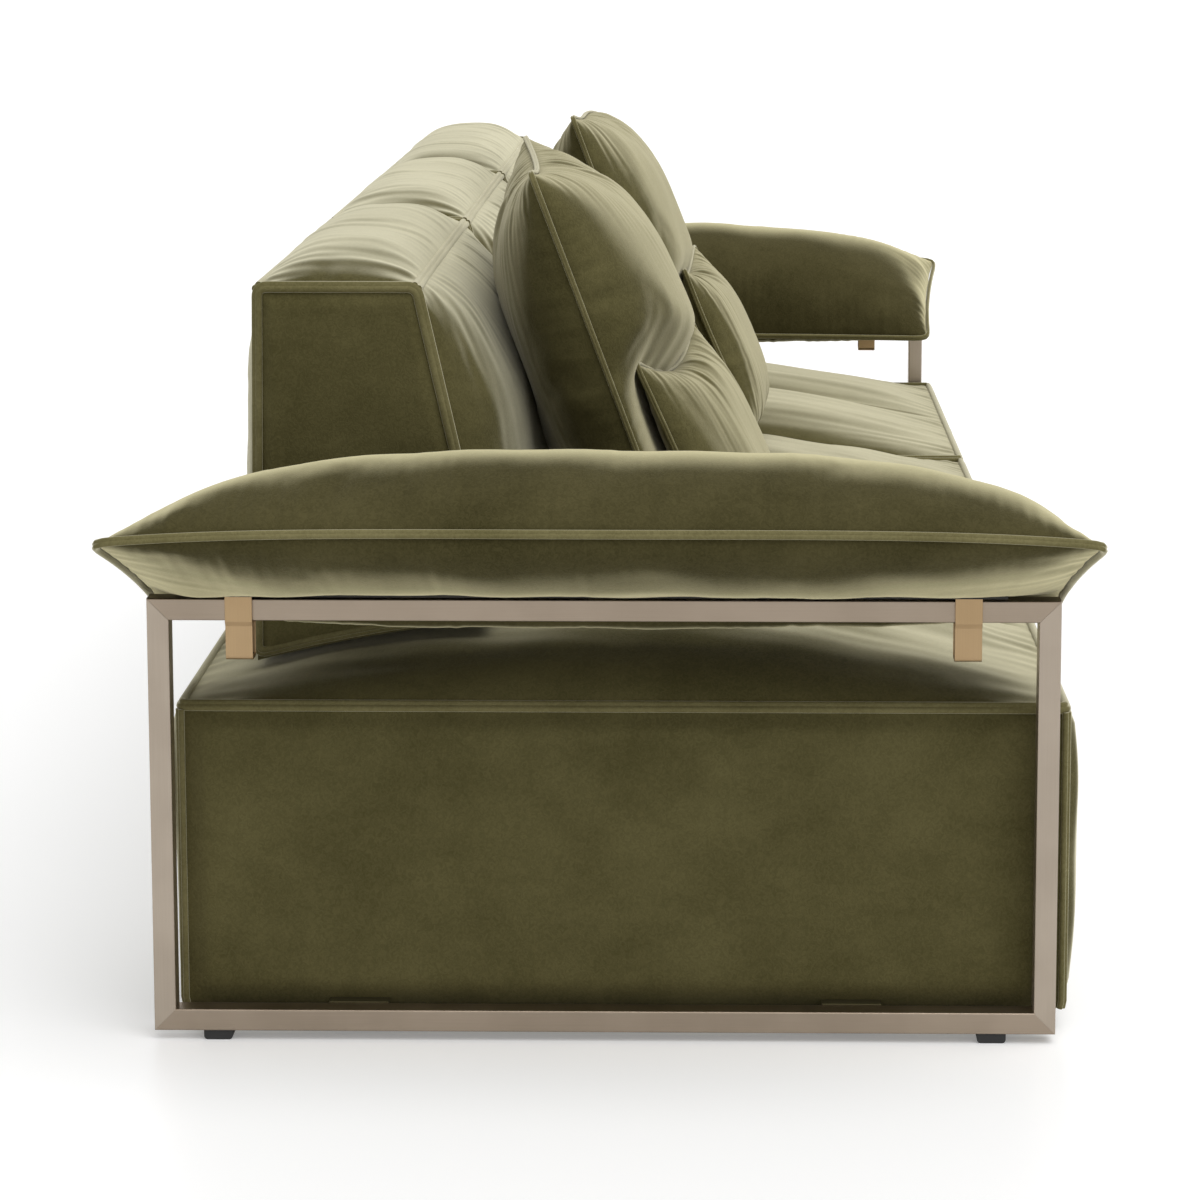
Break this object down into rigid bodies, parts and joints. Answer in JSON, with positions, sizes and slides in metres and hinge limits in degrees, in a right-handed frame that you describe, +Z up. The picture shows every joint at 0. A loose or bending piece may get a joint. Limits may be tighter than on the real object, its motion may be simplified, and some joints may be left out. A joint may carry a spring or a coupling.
{
  "type": "three-seater sofa",
  "caption": "Long upholstered sofa with crowned seat and back blocks, pillow arms clipped on square-tube end frames, and loose cushions",
  "frame": {"origin": "on the floor, under the middle of the sofa's length and depth", "axes": "+X along the sofa, from the left end frame to the right one; the seats face -Y; +Z up"},
  "size_m": [2.6736, 0.9724, 0.8653],
  "materials": {
    "cover": "napped olive green",
    "frame_metal": "brushed champagne",
    "clip_metal": "satin bronze",
    "foot_plastic": "matte black",
    "fixing_steel": "zinc plated",
    "timber": "sawn",
    "foam": "foam",
    "webbing": "woven",
    "dust_cloth": "woven"
  },
  "bodies": {
    "sofa": {"left_frame_top_bar": "frame_metal", "left_frame_rear_post": "frame_metal", "left_frame_bottom_bar": "frame_metal", "left_frame_front_post": "frame_metal", "left_frame_glides": "foot_plastic", "left_frame_plates": "fixing_steel", "left_frame_bolts": "fixing_steel", "right_frame_top_bar": "frame_metal", "right_frame_rear_post": "frame_metal", "right_frame_bottom_bar": "frame_metal", "right_frame_front_post": "frame_metal", "right_frame_glides": "foot_plastic", "right_frame_plates": "fixing_steel", "right_frame_bolts": "fixing_steel", "left_seat_carcass": "timber", "left_seat_webbing": "webbing", "left_seat_foam": "foam", "left_seat_cover": "cover", "left_seat_dust_cloth": "dust_cloth", "left_back_pegs": "fixing_steel", "left_back_core": "timber", "left_back_foam": "foam", "left_back_cover": "cover", "middle_seat_carcass": "timber", "middle_seat_webbing": "webbing", "middle_seat_foam": "foam", "middle_seat_cover": "cover", "middle_seat_dust_cloth": "dust_cloth", "middle_back_pegs": "fixing_steel", "middle_back_core": "timber", "middle_back_foam": "foam", "middle_back_cover": "cover", "right_seat_carcass": "timber", "right_seat_webbing": "webbing", "right_seat_foam": "foam", "right_seat_cover": "cover", "right_seat_dust_cloth": "dust_cloth", "right_back_pegs": "fixing_steel", "right_back_core": "timber", "right_back_foam": "foam", "right_back_cover": "cover", "seat_link_plates": "fixing_steel", "seat_link_bolts": "fixing_steel", "seat_feet": "foot_plastic"},
    "left_arm": {"left_arm_pad": "cover", "left_arm_board": "timber", "left_arm_front_clip": "clip_metal", "left_arm_rear_clip": "clip_metal", "left_arm_screws": "fixing_steel"},
    "right_arm": {"right_arm_pad": "cover", "right_arm_board": "timber", "right_arm_front_clip": "clip_metal", "right_arm_rear_clip": "clip_metal", "right_arm_screws": "fixing_steel"},
    "left_large": {"left_large_cushion": "cover"},
    "left_small": {"left_small_cushion": "cover"},
    "right_large": {"right_large_cushion": "cover"},
    "right_small": {"right_small_cushion": "cover"}
  },
  "joints": [
    {"name": "left_arm_slide", "type": "slide", "parent": "sofa", "child": "left_arm", "axis": [0, 1, 0], "range_m": [-0.055, 0.055]},
    {"name": "right_arm_slide", "type": "slide", "parent": "sofa", "child": "right_arm", "axis": [0, 1, 0], "range_m": [-0.055, 0.055]},
    {"name": "left_large_lift", "type": "slide", "parent": "sofa", "child": "left_large", "axis": [0, -0.7071, 0.7071], "range_m": [0, 0.25]},
    {"name": "right_large_lift", "type": "slide", "parent": "sofa", "child": "right_large", "axis": [0, -0.7071, 0.7071], "range_m": [0, 0.25]},
    {"name": "left_small_lift", "type": "slide", "parent": "left_large", "child": "left_small", "axis": [0, -0.7071, 0.7071], "range_m": [0, 0.25]},
    {"name": "right_small_lift", "type": "slide", "parent": "right_large", "child": "right_small", "axis": [0, -0.7071, 0.7071], "range_m": [0, 0.25]}
  ]
}
